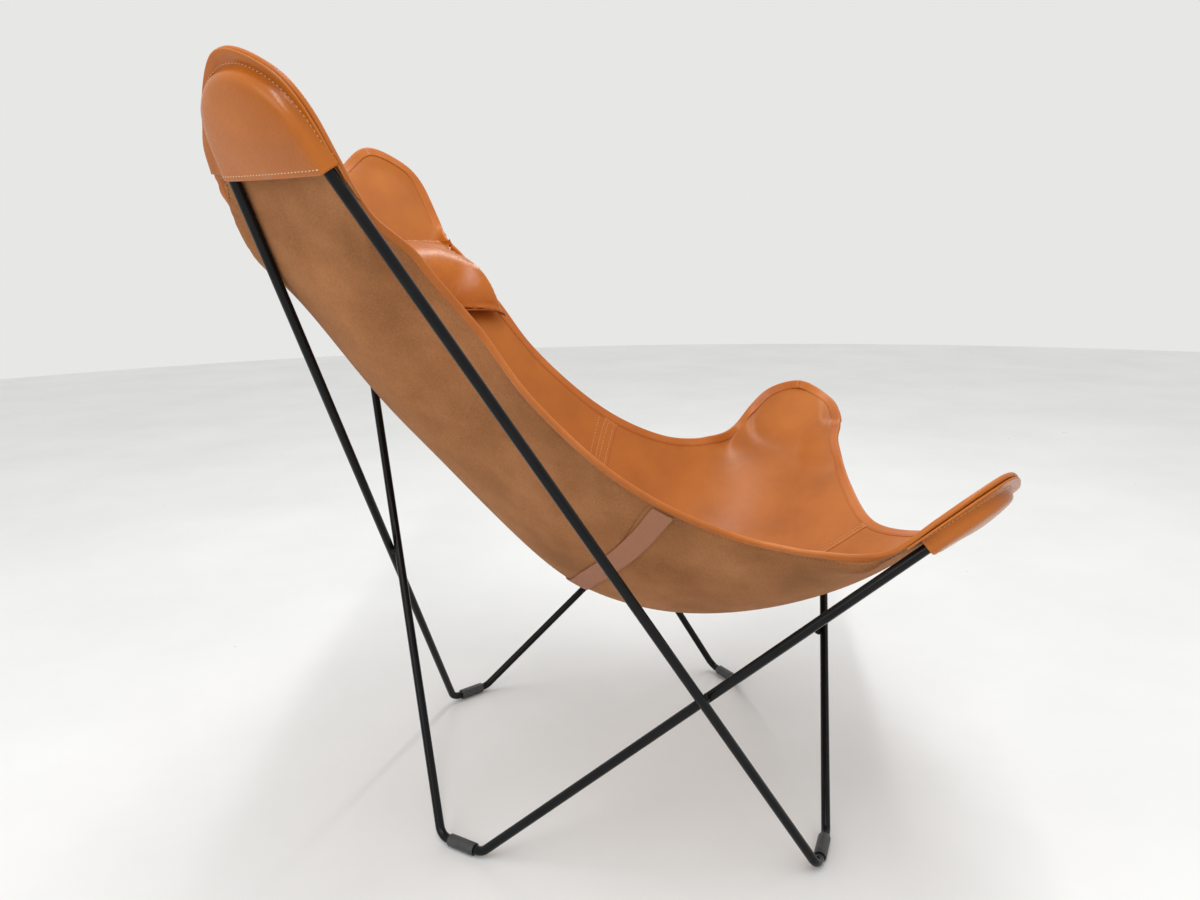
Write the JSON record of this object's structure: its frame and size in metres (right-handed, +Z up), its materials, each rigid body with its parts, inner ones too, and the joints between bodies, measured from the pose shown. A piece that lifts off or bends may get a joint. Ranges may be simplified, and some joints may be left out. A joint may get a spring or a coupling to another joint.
{
  "type": "butterfly sling chair",
  "caption": "Butterfly lounge chair: a leather hammock seat hung by corner pockets on welded loops of steel rod, with a neck pillow on the back",
  "frame": {"origin": "on the floor, under the middle of the chair's plan", "axes": "+Z up; the sitter faces -Y; +X is the sitter's left"},
  "size_m": [0.8478, 0.8832, 0.9598],
  "materials": {
    "frame_rod": "black satin powder coat",
    "foot_sleeve": "dark grey matte plastic",
    "sling_leather": "cognac saddle leather, smooth inside, suede underneath",
    "pocket_leather": "smooth cognac saddle leather",
    "hem_leather": "folded and stitched leather edge",
    "webbing": "salmon woven webbing",
    "pillow_leather": "soft cognac leather over a fibre filling"
  },
  "bodies": {
    "root": {"rear_right_side_leg": "frame_rod", "rear_right_back_leg": "frame_rod", "rear_right_tip_bend": "frame_rod", "rear_right_foot_bend": "frame_rod", "rear_right_foot_sleeve": "foot_sleeve", "rear_right_pocket": "pocket_leather", "rear_left_side_leg": "frame_rod", "rear_left_back_leg": "frame_rod", "rear_left_tip_bend": "frame_rod", "rear_left_foot_bend": "frame_rod", "rear_left_foot_sleeve": "foot_sleeve", "rear_left_pocket": "pocket_leather", "front_right_side_leg": "frame_rod", "front_right_front_leg": "frame_rod", "front_right_tip_bend": "frame_rod", "front_right_foot_bend": "frame_rod", "front_right_foot_sleeve": "foot_sleeve", "front_right_pocket": "pocket_leather", "front_left_side_leg": "frame_rod", "front_left_front_leg": "frame_rod", "front_left_tip_bend": "frame_rod", "front_left_foot_bend": "frame_rod", "front_left_foot_sleeve": "foot_sleeve", "front_left_pocket": "pocket_leather", "right_side_weld": "frame_rod", "left_side_weld": "frame_rod", "rear_weld": "frame_rod", "front_weld": "frame_rod", "sling_back_panel": "sling_leather", "sling_seat_right_half": "sling_leather", "sling_seat_left_half": "sling_leather", "right_side_hem": "hem_leather", "left_side_hem": "hem_leather", "top_hem": "hem_leather", "front_hem": "hem_leather", "webbing_strap": "webbing", "neck_pillow": "pillow_leather"}
  },
  "joints": []
}
